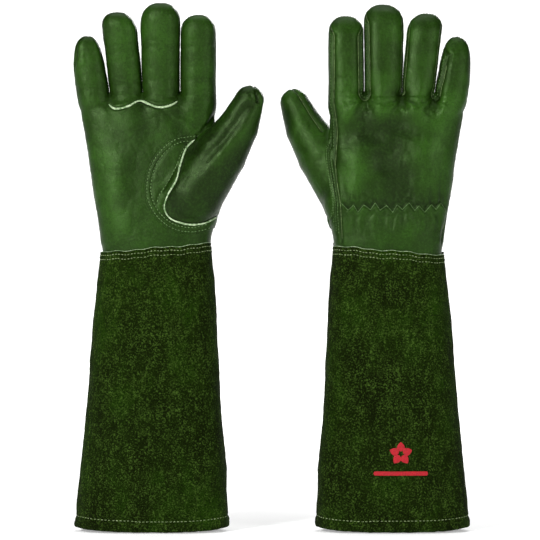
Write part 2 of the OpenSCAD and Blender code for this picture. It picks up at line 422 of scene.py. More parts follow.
def seams(p):
    """Signed distances to each line where the leather is cut, or nan where that line doesn't run."""
    x, y, z = p.T
    nothing = np.full(x.shape, np.nan)
    near = nearest_finger(x, z)
    stalls = list(FINGERS.values())
    tips = np.array([f["tip"] for f in stalls])[near]
    closing = ease(z, tips - 17, tips - 5)
    inside = (x > finger_x(stalls[3], z)) & (x < finger_x(stalls[0], z)) & (z > WEB_Z - 7)
    rise = y - finger_y(z)
    front = inside_distance(x, z, THUMB_OUTLINE)
    behind = x - np.interp(z, *zip(*THUMB_BACK))
    share = ease(y, -5, 9)
    found = {"thumb": (1 - share) * front + share * behind}
    side_y, top_y = back_seam(x, z)
    back_y = side_y * (1 - closing) + top_y * closing
    found["back"] = np.minimum(rise - back_y, np.interp(z, *zip(*WRAP)) - x)
    front_y = FRONT_SEAM * (1 - closing) + 1.5 * closing
    found["strip"] = np.where(inside & (closing < 1), rise - front_y, nothing)
    on_thumb = found["thumb"] > -0.3
    patch = (y < 0) & (found["thumb"] < 0) & (found["back"] < 0)
    found["patch"] = np.where(patch, inside_distance(x, z, PATCH_OUTLINE), nothing)
    along = thumb_along(p)
    side = (p - THUMB) @ THUMB_SIDE
    tilt = np.where(side > 0, -0.35 + 1.0 * ease(along, 16, 24), 1.9)
    across = (y - (THUMB[1] + 0.2 * -along) + tilt * side) / np.sqrt(1 + tilt**2)
    found["thumb_sides"] = np.where(on_thumb & (along > -THUMB_ZONE - 0.3), across, nothing)
    found["thumb_zone"] = np.where(on_thumb, along + THUMB_ZONE, nothing)
    for i, (name, f) in enumerate(FINGERS.items()):
        mine = (near == i) & (z > WEB_Z - 12) & ~on_thumb
        found[name] = np.where(mine, finger_along(f, p) + f["zone"], nothing)
    welt = spline(FINGER_WELT, 1.0)
    across = z - np.interp(x, welt[:, 0], welt[:, 1])
    base = (y < 0) & (x > FINGER_WELT[0][0]) & (x < FINGER_WELT[-1][0]) & (z > 335) & (z < 360)
    found["base"] = np.where(base, across, nothing)
    return found


def past(distance):
    """Where a line runs and the point is on its positive side."""
    return np.nan_to_num(distance, nan=-1) > 0


SNAP = 0.07  # points this near a seam count as on it


def cut(bm, name):
    """Cuts the faces of a mesh along one of the seams, so that no face lies across it."""
    bm.verts.index_update()
    value = seams(np.array([v.co for v in bm.verts]))[name]
    value[np.abs(value) < SNAP] = 0
    zero = dict.fromkeys(v for v, s in zip(bm.verts, value) if s == 0)  # in order, unlike a set
    ends = np.array([(e.verts[0].index, e.verts[1].index) for e in bm.edges])
    crossing = np.nonzero(value[ends[:, 0]] * value[ends[:, 1]] < 0)[0]
    edges = list(bm.edges)
    for i in crossing:
        e = edges[i]
        v = e.verts[0]
        a, b = value[ends[i, 0]], value[ends[i, 1]]
        zero[bmesh.utils.edge_split(e, v, a / (a - b))[1]] = None
    for f in dict.fromkeys(f for v in zero for f in v.link_faces):
        on = [v for v in f.verts if v in zero]
        if len(on) == 2 and not any(on[1] in e.verts for e in on[0].link_edges):
            bmesh.utils.face_split(f, on[0], on[1])


# ---------------------------------------------------------------- the hand's skin

GRID = 0.95  # spacing of the skin's first mesh
INSET = 0.35  # the first mesh lies this far inside the skin, so that close fingers stay apart
SKIN_LOW, SKIN_HIGH = np.array([-73.0, -46.0, SLEEVE_LOW - 5]), np.array([101.0, 36.0, 440.0])


def first_mesh():
    axes = [np.arange(a, b, GRID) for a, b in zip(SKIN_LOW, SKIN_HIGH)]
    shape = [len(a) for a in axes]
    points = np.stack(np.meshgrid(*axes, indexing="ij"), -1).reshape(-1, 3)
    volume = openvdb.FloatGrid(20.0)
    volume.copyFromArray((field(points) + INSET).reshape(shape).astype(np.float32))
    verts, quads = volume.convertToQuads(isovalue=0.0)
    return np.array(verts, float) * GRID + SKIN_LOW, np.array(quads, int)


def relax(p, quads, rounds):
    """Evens out the mesh along the skin."""
    pairs = np.vstack([quads[:, [i, (i + 1) % 4]] for i in range(4)])
    pairs = np.unique(np.sort(pairs, 1), axis=0)
    count = np.bincount(pairs.ravel(), minlength=len(p))[:, None]
    for _ in range(rounds):
        total = np.zeros_like(p)
        np.add.at(total, pairs[:, 0], p[pairs[:, 1]])
        np.add.at(total, pairs[:, 1], p[pairs[:, 0]])
        n = unit(gradient(p))
        shift = total / count - p
        shift -= n * (shift * n).sum(1, keepdims=True)
        p = settle(p + 0.6 * shift, 1)
    return p


def mound(x, z, cx, cz, rx, rz):
    """An oval rise of height 1."""
    return hump(np.hypot((x - cx) / rx, (z - cz) / rz), 1)


class Spot:
    """Points of the skin, and what each part of the relief needs to know about them."""

    def __init__(self, p, lines):
        self.p = p
        self.x, self.y, self.z = p.T
        self.lines = {k: np.nan_to_num(v, nan=FAR) for k, v in lines.items()}
        self.wobble = cloud(p, 7.0, 3.1)
        self.wx = self.x + 7 * cloud(p, 26.0, 2.0, 2)
        self.wz = self.z + 7 * cloud(p, 26.0, 9.0, 2)
        self.behind, self.before = ease(self.y, 0, 8), ease(-self.y, 0, 8)


# Each part of the relief gives how far the skin stands proud there, and how much painted shade darkens
# its colour


SEAM_DEPTHS = {"thumb": 0.75, "back": 1.0, "strip": 0.5, "base": 0.9, "thumb_sides": 1.1}


def seam_relief(s):
    """A groove along each seam, between two soft puckered ridges, with painted shade in the groove."""
    height, dark = np.zeros(len(s.p)), np.zeros(len(s.p))
    side = (s.p - THUMB) @ THUMB_SIDE
    for name, depth in SEAM_DEPTHS.items():
        d = s.lines[name]
        if name == "thumb_sides":
            depth = depth * ease(-side, -2, 1)
        height -= depth * hump(d, 1.1)
        dark += depth * hump(d, 1.0)
        height += (0.3 + 0.25 * s.wobble) * hump(np.abs(d) - 2.8, 1.7) * depth
    strip, back = s.lines["strip"], s.lines["back"]
    # Painted shade on the strips between the fingers, where shade falls
    dark += 1.2 * ease(strip, -1, 2) * ease(-back, -1, 2) * (strip < 90)
    # Painted shade on the band beside the index finger's wrap seam, which faces away from the light
    dark += 1.2 * hump(back + 2.4, 1.8) * (s.x > 30)
    return height, dark


def finger_relief(s):
    """Knuckles, folds where the fingers bend, and the valleys and pulls round the webs."""
    height = np.zeros(len(s.p))
    near = nearest_finger(s.x, s.z)
    for i, f in enumerate(FINGERS.values()):
        height += 2.6 * s.behind * mound(s.wx, s.wz, finger_x(f, s.z), WEB_Z - 6, 9, 14)
        bend = finger_along(f, s.p)
        folds = 0.35 * hump(bend - 24, 2.4) + 0.25 * hump(bend - 29, 1.8) + 0.4 * hump(bend + 3, 3)
        height -= folds * s.before * (near == i) * (s.z > WEB_Z)
    for pair in NEIGHBOURS:
        across = s.x - between(*pair, s.z)
        valley = hump(across, 4.5) * ease(s.z, WEB_Z - 26, WEB_Z - 4)
        height -= (2.2 * s.behind + 0.9 * s.before) * valley * (1 - ease(s.z, WEB_Z + 3, WEB_Z + 10))
        down = WEB_Z + 2 - s.z
        pulls = np.cos(np.arctan2(across, down) * 9 + 2 * s.wobble) * hump(np.hypot(across, down) - 11, 7)
        height += 0.7 * s.behind * pulls * ease(WEB_Z - s.z, -4, 4)
    return height, 0


def back_relief(s):
    """A broad hollow under the knuckles that runs down the middle, between two soft ridges, with painted
    shade in the hollow.
    """
    hollow = np.maximum(mound(s.wx, s.wz, 8, 325, 32, 12), mound(s.wx, s.wz, 3, 301, 17, 26))
    ridges = 2.0 * mound(s.wx, s.wz, 33, 294, 10, 26) + 1.6 * mound(s.wx, s.wz, -30, 304, 12, 34)
    return s.behind * (ridges - 3.2 * hollow), 0.8 * s.behind * hollow


def palm_relief(s):
    """A shallow hollow beside the patch, the heel of the hand, and folds that run towards the thumb."""
    height = 1.8 * (mound(s.wx, s.wz, -30, 270, 15, 30) - mound(s.wx, s.wz, -8, 298, 20, 30))
    for depth, fx, fz, width in ((1.3, 30, 318, 5), (0.7, 22, 332, 3), (0.6, 38, 330, 2.5)):
        slant = (s.wx - fx) * 0.62 + (s.wz - fz) * 0.78
        height -= depth * hump(slant, width) * hump(s.x - fx + 2, 13)
    rows = (PATCH_LINE, beside(PATCH_LINE, ROW_GAP)[12:-6], spline(PATCH_INNER_ROW))
    stitched = np.minimum.reduce([line_distance(s.x, s.z, row[::2]) for row in rows])
    # The second value is painted shade in the grooves along the patch's rows of stitches
    return s.before * (height - 0.5 * hump(stitched, 1.3)), 1.6 * s.before * hump(stitched, 1.2)


def thumb_relief(s):
    """A valley from the thumb's folded end down towards the palm, and the slit of the fold itself."""
    front = ease(THUMB[1] - 0.17 * thumb_along(s.p) - s.y, 0, 5) * (s.lines["thumb"] > 0)
    valley = (s.x - 62.2) * 0.785 - (s.z - 324) * 0.62 + 0.25 * (s.wx - s.x)
    low = front * ease(s.z, 284, 312)
    in_valley = low * (1 - ease(s.z, 345, 351)) * hump(valley, 4)
    slit = line_distance(s.x, s.z, spline(TIP_FOLD))
    fades = 1 - ease(s.z, 352, 359)
    height = 0.9 * low * (1 - ease(s.z, 340, 351)) * hump(valley - 9, 5) - 1.7 * in_valley
    height += front * fades * (0.9 * hump(slit - 2.7, 1.1) - 2.0 * hump(slit, 1.3))
    # Painted shade in the valley, inside the slit and over the thumb's front, which faces away from the
    # light; less of it on a band beside the valley, as a painted highlight
    dark = 1.3 * in_valley + 2.3 * front * (1 - 0.6 * hump(valley - 10, 7) * ease(s.z, 290, 315))
    return height, dark + 2.0 * front * (0.3 + 0.7 * fades) * hump(slit, 1.2)


def wrist_relief(s):
    """The wrist's gathers: scallops that peak at the top of each zigzag, with folds above and below."""
    above = s.z - np.interp(s.x, *zip(*ZIGZAG))
    across = s.behind * ease(s.x, -46, -41) * (1 - ease(s.x, 39, 43))
    pleats = np.cos((s.wx - ZIGZAG[1][0]) * math.pi / ZIGZAG_STEP + 1.2 * s.wobble)
    height = 0.9 * hump(above + 1.8, 2.2) + 0.4 * pleats * hump(above + 10, 8)
    height -= 1.5 * hump(above - 1.8, 2.0) + (0.5 - 0.5 * pleats) * hump(above - 6, 6)
    height -= 0.8 * hump(above - 4, 14)
    # The second value is painted shade in the groove just above the zigzag
    return across * height, across * hump(above - 1.6, 1.6)


def relief(p, lines):
    """How far each point of the skin stands proud, and how much painted shade darkens its colour."""
    s = Spot(p, lines)
    parts = (seam_relief, finger_relief, back_relief, palm_relief, thumb_relief, wrist_relief)
    height, dark = map(sum, zip(*(part(s) for part in parts)))
    ridges = 1 - np.abs(cloud(p * (1, 1, 0.7), 13.0, 11.0))
    height -= 0.6 * np.maximum(ridges - 0.75, 0)
    height += 0.7 * cloud(p * (1, 1, 0.6), 32.0, 8.4, 2) + 0.08 * cloud(p, 7.0, 5.2)
    for pair in NEIGHBOURS:  # neighbouring fingers stay clear of one another
        room = np.where(s.z > WEB_Z + 5, np.abs(s.x - between(*pair, s.z)), FAR)
        height = np.minimum(height, room - 0.15)
    return height * ease(s.z, CUFF_TOP, CUFF_TOP + 9), dark


ELASTIC_BOX = own_box("wrist_elastic")
ELASTIC_DOWN = 4.0  # the leather's gathers pull the elastic down from its straight place
ELASTIC_Z = (ELASTIC_BOX[0][2] + ELASTIC_BOX[1][2]) / 2 - ELASTIC_DOWN
ZIGZAG_STEP, ZIGZAG_HIGH = 4.5, 5.2
ZIGZAG = [
    (
        -44.0 + i * ZIGZAG_STEP + 0.7 * math.sin(1.7 * i),
        ELASTIC_Z
        + ZIGZAG_HIGH * (i % 2 - 0.5) * (1 + 0.25 * math.sin(2.1 * i))
        + 0.7 * math.sin(1.1 * i),
    )
    for i in range(20)
]
ROW_GAP = 3.4  # between the patch's two outer rows of stitches


def make_skin():
    """The whole hand as one mesh, cut along its seams. Returns it with what is known at each vertex."""
    p, quads = first_mesh()
    p = settle(p, 3)
    p = relax(p, quads, 4)
    p = settle(p, 2)
    mesh = bpy.data.meshes.new("skin")
    mesh.from_pydata(p.tolist(), [], quads.tolist())
    bm = bmesh.new()
    bm.from_mesh(mesh)
    bpy.data.meshes.remove(mesh)
    low = [v for v in bm.verts if v.co.z < SLEEVE_LOW]
    bmesh.ops.delete(bm, geom=low, context="VERTS")
    for name in ("thumb", "back", "strip", "thumb_zone", "thumb_sides", *FINGERS, "base", "patch"):
        cut(bm, name)
    bm.verts.index_update()
    bm.verts.ensure_lookup_table()
    rest = np.array([v.co for v in bm.verts])
    outward = unit(gradient(rest))
    middle = max(bm.faces, key=lambda f: f.calc_center_median().x)
    middle.normal_update()
    if middle.normal.dot(Vector(outward[middle.verts[0].index])) < 0:
        bmesh.ops.reverse_faces(bm, faces=bm.faces)
    height, dark = relief(rest, seams(rest))
    # Painted light: raised leather is coloured lighter and sunk leather darker, painted shade is taken
    # off, and random tone is added
    painted_light_and_tone = height - dark + 0.8 * cloud(rest, 12.0, 1.0)
    for v, co in zip(bm.verts, rest + outward * height[:, None]):
        v.co = co
    bm.normal_update()
    return bm, rest, np.array([v.normal for v in bm.verts]), painted_light_and_tone


def region_names(centres):
    """The name of the piece that each face belongs to."""
    s = seams(centres)
    y = centres[:, 1]
    near = nearest_finger(centres[:, 0], centres[:, 2])
    names = np.array(list(FINGERS))[near]
    stall = np.zeros(len(centres), bool)
    for name in FINGERS:
        stall |= past(s[name])
    on_thumb = s["thumb"] > 0
    stall &= ~on_thumb
    behind = s["back"] > 0
    strip = ~behind & past(s["strip"])
    base = ~behind & ~strip & ~stall & past(s["base"]) & (y < 0)
    out = np.where(behind, "back", "palm").astype(object)
    out[base] = "finger_bases"
    out[strip & ~stall] = "webs"
    for kind, mask in (("front", ~behind & ~strip), ("back", behind), ("sides", strip)):
        pick = stall & mask
        out[pick] = [f"{n}_{kind}" for n in names[pick]]
    above, rear = past(s["thumb_zone"]), past(s["thumb_sides"])
    out[on_thumb] = "thumb_base"
    out[on_thumb & above & ~rear] = "thumb_front"
    out[on_thumb & above & rear] = "thumb_back"
    return out


# ---------------------------------------------------------------- pieces

PIECES = []


def piece(
    name, verts, faces, material, slot, body, replaces=(), normals=None, rest=None, picks=None, painted_light_and_tone=None
):  # fmt: skip
    """Notes a piece of one glove. body is a name, or (a, b, start, end) for leather between two bodies,
    which place() leaves fixed where it lies.
    """
    verts = np.asarray(verts, float)
    PIECES.append(
        dict(
            name=name, verts=verts, faces=faces, material=material, slot=slot, body=body,
            replaces=replaces, normals=normals, rest=verts if rest is None else rest, picks=picks,
            painted_light_and_tone=painted_light_and_tone,
        )
    )  # fmt: skip


def grid(rows, columns, closed=False):
    """The quads of a grid of points given row by row. closed joins each row's end to its start."""
    faces = []
    for i in range(rows - 1):
        for j in range(columns if closed else columns - 1):
            k = (j + 1) % columns
            faces.append([i * columns + j, (i + 1) * columns + j, (i + 1) * columns + k, i * columns + k])
    return faces


def part_of(faces, keep):
    """Some of a mesh's faces, numbered anew, with the old numbers of their points."""
    mine = [f for f, k in zip(faces, keep) if k]
    used = np.unique([v for f in mine for v in f])
    index = {v: i for i, v in enumerate(used)}
    return used, [[index[v] for v in f] for f in mine]


def new_mesh(name, verts, faces):
    mesh = bpy.data.meshes.new(name)
    mesh.from_pydata(verts, [], faces)
    mesh.polygons.foreach_set("use_smooth", [True] * len(mesh.polygons))
    return mesh


def new_object(name, data):
    obj = bpy.data.objects.new(name, data)
    bpy.context.scene.collection.objects.link(obj)
    return obj


def thicken(verts, normals, faces, thickness):
    """A closed sheet: the given faces outside, the same inside, and a rim along the open edges."""
    count = len(verts)
    inner = [[v + count for v in reversed(f)] for f in faces]
    seen = {}
    for f in faces:
        for a, b in zip(f, f[1:] + f[:1]):
            seen[(a, b)] = (b, a)
    rim = [[b, a, a + count, b + count] for (a, b), back in seen.items() if back not in seen]
    return (
        np.vstack([verts, verts - normals * np.reshape(thickness, (-1, 1))]),
        np.vstack([normals, -normals]),
        [*faces, *inner, *rim],
    )


WRIST_BEND = ("cuff", "hand", WRIST - (0, 0, WRIST_ZONE), WRIST + (0, 0, WRIST_ZONE))


def finger_bend(name):
    f = FINGERS[name]
    axis = np.array([math.sin(f["lean"]), 0, math.cos(f["lean"])]) * f["zone"]
    at = np.array([f["x"], 0, f["z"]])
    return ("hand", name, at - axis, at + axis)


THUMB_BEND = ("hand", "thumb", THUMB - THUMB_AXIS * THUMB_ZONE, THUMB + THUMB_AXIS * THUMB_ZONE)

# Which CAD nodes each piece of leather stands for
STANDS_FOR = {
    "palm": ("palm_panel", "wrist_sleeve"),
    "back": ("back_panel",),
    "finger_bases": ("middle_ring_front",),
    "thumb_base": ("thumb_root",),
    "thumb_front": ("thumb_front",),
    "thumb_back": ("thumb_back",),
    "webs": (),
}
for name in FINGERS:
    STANDS_FOR[f"{name}_front"] = (f"{name}_front",)
    STANDS_FOR[f"{name}_back"] = (f"{name}_back",)
    STANDS_FOR[f"{name}_sides"] = (f"{name}_fourchette",)


def split_skin(bm, rest, normals, painted_light_and_tone, material):
    centres = []
    for f in bm.faces:
        centres.append(rest[[v.index for v in f.verts]].mean(0))
    regions = region_names(np.array(centres))
    faces = [[v.index for v in f.verts] for f in bm.faces]
    co = np.array([v.co for v in bm.verts])
    for region in sorted(set(regions)):
        used, mine = part_of(faces, regions == region)
        verts, n, all_faces = thicken(co[used], normals[used], mine, LEATHER)
        first = region.split("_")[0]
        if first in FINGERS:
            body = finger_bend(first)
        elif region in ("thumb_front", "thumb_back"):
            body = THUMB_BEND
        else:
            body = WRIST_BEND
        piece(
            region + "_leather", verts, all_faces, material, "leather", body, STANDS_FOR[region],
            normals=n, rest=np.vstack([rest[used]] * 2), painted_light_and_tone=np.tile(painted_light_and_tone[used], 2),
        )  # fmt: skip


# ---------------------------------------------------------------- threads and edges


def tree_of(verts, faces):
    return BVHTree.FromPolygons([tuple(v) for v in verts], faces)


def on_surface(tree, line, front=True):
    """Drops a line given in x and z onto a surface, from the front or from the back."""
    start, way = (-200, 1) if front else (200, -1)
    points, normals = [], []
    for x, z in line:
        hit, normal, *_ = tree.ray_cast(Vector((x, start, z)), Vector((0, way, 0)))
        if hit is not None:
            points.append(hit)
            normals.append(normal)
    return np.array(points), unit(smooth_line(np.array(normals), 3))


def frames(points, normals):
    """Along, across and out at each point of a line."""
    along = unit(np.gradient(points, axis=0))
    across = unit(np.cross(along, normals))
    return along, across, np.cross(across, along)


def tube(points, normals, width, height, lift=0.0, sides=8, taper=3):
    """A flattened cord that follows a line on a surface."""
    _, across, out = frames(points, normals)
    count = len(points)
    ends = np.minimum(np.arange(count), np.arange(count)[::-1])
    size = np.sqrt(np.clip((ends + 0.4) / taper, 0, 1))
    angle = np.arange(sides) * 2 * math.pi / sides
    w, h = np.broadcast_to(width, count) / 2 * size, np.broadcast_to(height, count) / 2 * size
    ring = across[:, None] * (np.cos(angle) * w[:, None])[..., None]
    ring = ring + out[:, None] * (np.sin(angle) * h[:, None])[..., None]
    centre = points + out * lift
    verts = np.vstack([(centre[:, None] + ring).reshape(-1, 3), centre[:1], centre[-1:]])
    faces = grid(count, sides, closed=True)
    last = (count - 1) * sides
    for j in range(sides):
        k = (j + 1) % sides
        faces.append([k, len(verts) - 2, j])
        faces.append([last + j, len(verts) - 1, last + k])
    return verts, faces


def join(parts):
    verts, faces, base = [], [], 0
    for v, f in parts:
        verts.append(v)
        faces += [[i + base for i in face] for face in f]
        base += len(v)
    return np.vstack(verts), faces


def stitches(points, normals, pitch=2.7, length=2.0, thick=0.62, lift=0.16):
    """A row of separate stitches, small grains whose ends dip into the leather: (verts, faces) each."""
    run = steps(points).sum()
    along, _, out = frames(points, normals)
    picks = np.arange(pitch / 2, run - pitch / 2, pitch) / run * (len(points) - 1)
    rings, sides = 5, 6
    angle = np.arange(sides) * 2 * math.pi / sides
    faces = grid(rings, sides, closed=True)
    faces += [list(range(sides)), [(rings - 1) * sides + j for j in reversed(range(sides))]]
    grains = []
    for at in picks.round().astype(int):
        side = np.cross(out[at], along[at])
        verts = []
        for s in np.linspace(-1, 1, rings):
            r = thick / 2 * math.sqrt(max(1 - (0.96 * s) ** 2, 0))
            centre = points[at] + along[at] * s * length / 2 + out[at] * (lift - 0.35 * s * s)
            verts += [centre + r * (math.cos(a) * side + 0.85 * math.sin(a) * out[at]) for a in angle]
        grains.append((np.array(verts), faces))
    return grains


def trace(bm, value, keep):
    """The lines on a mesh where value is zero, and keep holds, as arrays of points."""
    links = {}
    co = [v.co for v in bm.verts]
    for e in bm.edges:
        a, b = e.verts[0].index, e.verts[1].index
        if value[a] * value[b] < 0 and keep[a] and keep[b]:  # never true of nan
            links[e] = (co[a] * value[b] - co[b] * value[a]) / (value[b] - value[a])
    near = {e: [] for e in links}
    for e in links:
        for f in e.link_faces:
            near[e] += [o for o in f.edges if o is not e and o in links]
    left, lines = set(links), []
    for start in sorted(links, key=lambda e: (len(near[e]), tuple(links[e]))):
        if start not in left:
            continue
        line, at = [], start
        while at is not None:
            left.discard(at)
            line.append(links[at])
            at = next((o for o in near[at] if o in left), None)
        if len(line) > 8:
            lines.append(np.array(line))
    return lines


def with_normals(tree, line):
    """A traced line made smooth and laid back on the surface, with the surface's normals."""
    line = even(smooth_line(even(line, 0.5), 6), 0.5)
    points, normals = [], []
    for p in line:
        hit, normal, *_ = tree.find_nearest(Vector(p))
        points.append(hit)
        normals.append(normal)
    return smooth_line(np.array(points), 2), unit(smooth_line(np.array(normals), 6))


# ---------------------------------------------------------------- the sewing on the hand

SHORTEST_ROW, SHORTEST_EDGE = 14, 12  # shorter stretches of a seam get no stitches or no edge
PATCH_LIFT = 0.8  # how far the patch stands proud of the palm


def body_at(points):
    """The body that each point of the hand's skin rides on."""
    s = seams(points)
    out = np.full(len(points), "hand", object)
    for name in FINGERS:
        out[past(s[name])] = name
    out[past(s["thumb_zone"])] = "thumb"
    return out


def bend_of(body):
    return WRIST_BEND if body == "hand" else THUMB_BEND if body == "thumb" else finger_bend(body)


def sew(name, rows, material, replaces=()):
    """Makes pieces of the stitches of some rows, one piece for each body that they lie on."""
    grains = [g for row in rows for g in row]
    bodies = body_at(np.array([g[0].mean(0) for g in grains]))
    for body in sorted(set(bodies)):
        verts, faces = join([g for g, b in zip(grains, bodies) if b == body])
        piece(f"{name}_{body}", verts, faces, material, "thread", bend_of(body), replaces)
        replaces = ()


def seam_rows(bm, rest, tree, field_name, offset, keep, **how):
    """Rows of stitches that run beside a seam."""
    value = seams(rest)[field_name] - offset
    rows = []
    for line in trace(bm, value, keep(rest)):
        if steps(line).sum() > SHORTEST_ROW:
            rows.append(stitches(*with_normals(tree, line), **how))
    return rows


def sew_hand(bm, rest, tree, material):
    patch = on_surface(tree, PATCH_LINE)
    inner = on_surface(tree, beside(PATCH_LINE, ROW_GAP)[12:-6])
    third = on_surface(tree, spline(PATCH_INNER_ROW))
    rows = []
    for points, normals in (patch, inner, third):
        rows.append(stitches(points + normals * PATCH_LIFT, normals, pitch=2.8, length=2.0, thick=0.8))
    sew("patch_stitches", rows, material, ("patch_thread",))

    def finger_seams(p):
        x, _, z = p.T
        return (x > -42) & (z > 240) & (z < 425)

    def beside_index(p):
        x, _, z = p.T
        return (x > 34) & (z > 243) & (z < 344)

    rows = seam_rows(bm, rest, tree, "back", -1.9, finger_seams, pitch=2.4, length=1.7, thick=0.5)
    for inward in (-3.7, -5.5):
        rows += seam_rows(bm, rest, tree, "back", inward, beside_index, pitch=1.9, length=1.3, thick=0.45)
    sew("back_stitches", rows, material)

    def behind(p):
        return (p[:, 1] > 0) & (p[:, 2] > 246) & (p[:, 2] < 330)

    rows = seam_rows(bm, rest, tree, "thumb", 1.9, behind, pitch=2.4, length=1.7, thick=0.5)
    sew("thumb_stitches", rows, material)


def seam_edges(bm, rest, tree, material):
    """The thin edges of leather that show along the seams of the back panel and inside the thumb."""
    x, _, z = rest.T
    bodies, along, side = body_at(rest), thumb_along(rest), (rest - THUMB) @ THUMB_SIDE
    inside = (side < 0) & (along < 27)
    for name, field_name, keep in (
        ("seam_edge", "back", (x > -44) & (z > 238)),
        ("thumb_seam_edge", "thumb_sides", inside),
    ):
        value = seams(rest)[field_name] - 0.45
        for body in ("hand", "thumb", *FINGERS):
            parts = []
            for line in trace(bm, value, keep & (bodies == body)):
                if steps(line).sum() > SHORTEST_EDGE:
                    points, normals = with_normals(tree, line)
                    parts.append(tube(points, normals, 0.6, 0.5, lift=0.2, sides=6))
            if parts:
                piece(f"{name}_{body}", *join(parts), material, "raw_edge", bend_of(body))


def zigzag(tree, material):
    points, normals = on_surface(tree, even(np.array(ZIGZAG), 0.4), front=False)
    verts, faces = tube(points, normals, 0.55, 0.5, lift=0.1)
    piece("zigzag_thread", verts, faces, material, "thread", WRIST_BEND, ("elastic_thread",))


def elastic(tree, material):
    """The strip of elastic inside the back of the wrist, with its woven ribs."""
    low, high = ELASTIC_BOX
    xs = np.arange(low[0] + 2.5, high[0] - 2.5, 0.7)
    zs = np.linspace(low[2], high[2], 9) - ELASTIC_DOWN
    rows = []
    for z in zs:
        points, normals = on_surface(tree, [(x, z) for x in xs], front=False)
        rows.append((points, normals))
    if len({len(p) for p, _ in rows}) != 1:
        return
    n = len(rows[0][0])
    points = np.vstack([p for p, _ in rows])
    normals = np.vstack([v for _, v in rows])
    rib = np.tile(0.12 * np.cos(np.arange(n) * math.pi), len(zs))
    verts = points - normals * (LEATHER + 0.35 + rib)[:, None]
    verts, _, faces = thicken(verts, normals, grid(len(zs), n), 0.8)
    piece("elastic_strip", verts, faces, material, "elastic", WRIST_BEND, ("wrist_elastic",))


def patch_piece(bm, rest, normals, painted_light_and_tone, material):
    """The crescent that lies on the palm beside the thumb."""
    faces = [[v.index for v in f.verts] for f in bm.faces]
    centres = np.array([rest[f].mean(0) for f in faces])
    co = np.array([v.co for v in bm.verts])
    used, mine = part_of(faces, past(seams(centres)["patch"]))
    n = normals[used]
    edge = np.nan_to_num(seams(rest[used])["patch"], nan=9)
    lift = PATCH_LIFT - 0.35 * hump(np.maximum(edge, 0), 0.8)
    verts, _, mine = thicken(co[used] + n * lift[:, None], n, mine, lift + 0.1)
    piece(
        "palm_patch_leather", verts, mine, material, "leather", WRIST_BEND, ("palm_patch",),
        rest=np.vstack([rest[used]] * 2), painted_light_and_tone=np.tile(painted_light_and_tone[used], 2),
    )  # fmt: skip


def welts(tree, material):
    for name, line, wide, node in (
        ("thumb_edge", WELT_LINE, 1.5, "thumb_welt"),
        ("finger_edge", spline(FINGER_WELT), 1.7, "finger_base_welt"),
    ):
        points, normals = on_surface(tree, line)
        wave = cloud(points, 5.0, 7.7)
        points = smooth_line(points + normals * 0.15 * wave[:, None], 2)
        width = wide * (1 + 0.25 * wave)
        verts, faces = tube(points, normals, width, 1.4, lift=0.5, sides=10, taper=6)
        piece(name, verts, faces, material, "raw_edge", WRIST_BEND, (node,))


# ---------------------------------------------------------------- the cuff

SLEEVE_HALF = (own_box("wrist_sleeve")[1] - own_box("wrist_sleeve")[0])[:2] / 2
TOP_HALF = SLEEVE_HALF + (2.0, 2.0)
CUFF_POWER = 2.5
ROWS_DOWN = (3.4, 6.9)  # how far the two rows of stitches lie below the cuff's raw edge
HEM_ROW = 9.8
HEM_FOLD = 12.5
COLUMNS = 92


def cuff_edge(x, front):
    """Height of the slanting raw edge at the top of the cuff."""
    wave = 0.5 * np.sin(x * 0.16 + (1 if front else 2.6)) + 0.35 * np.sin(x * 0.43 + 0.8)
    return CUFF_TOP + (1.2 if front else -1.0) + 0.085 * (x - WRIST[0]) + wave


def cuff_angles(front):
    """Angles round the cuff, evenly spaced along its outline from the little finger's side."""
    t = np.linspace(math.pi, 0, 4001)
    half = (np.array([HEM_W, HEM_D]) / 2 + TOP_HALF) / 2
    c, s = np.cos(t), np.sin(t)
    outline = np.stack([half[0] * np.sign(c) * np.abs(c) ** 0.8, half[1] * np.abs(s) ** 0.8], 1)
    along = run_along(outline)
    t = np.interp(np.linspace(0, along[-1], COLUMNS), along, t)
    return -t if front else t


def outward_normals(p, ox, oy):
    """Normals of a grid of points, turned to point the way that ox and oy do."""
    n = unit(np.cross(np.gradient(p, axis=1), np.gradient(p, axis=0)))
    return n * np.sign((n * np.stack([ox, oy, 0 * ox], -1)).sum(-1, keepdims=True))


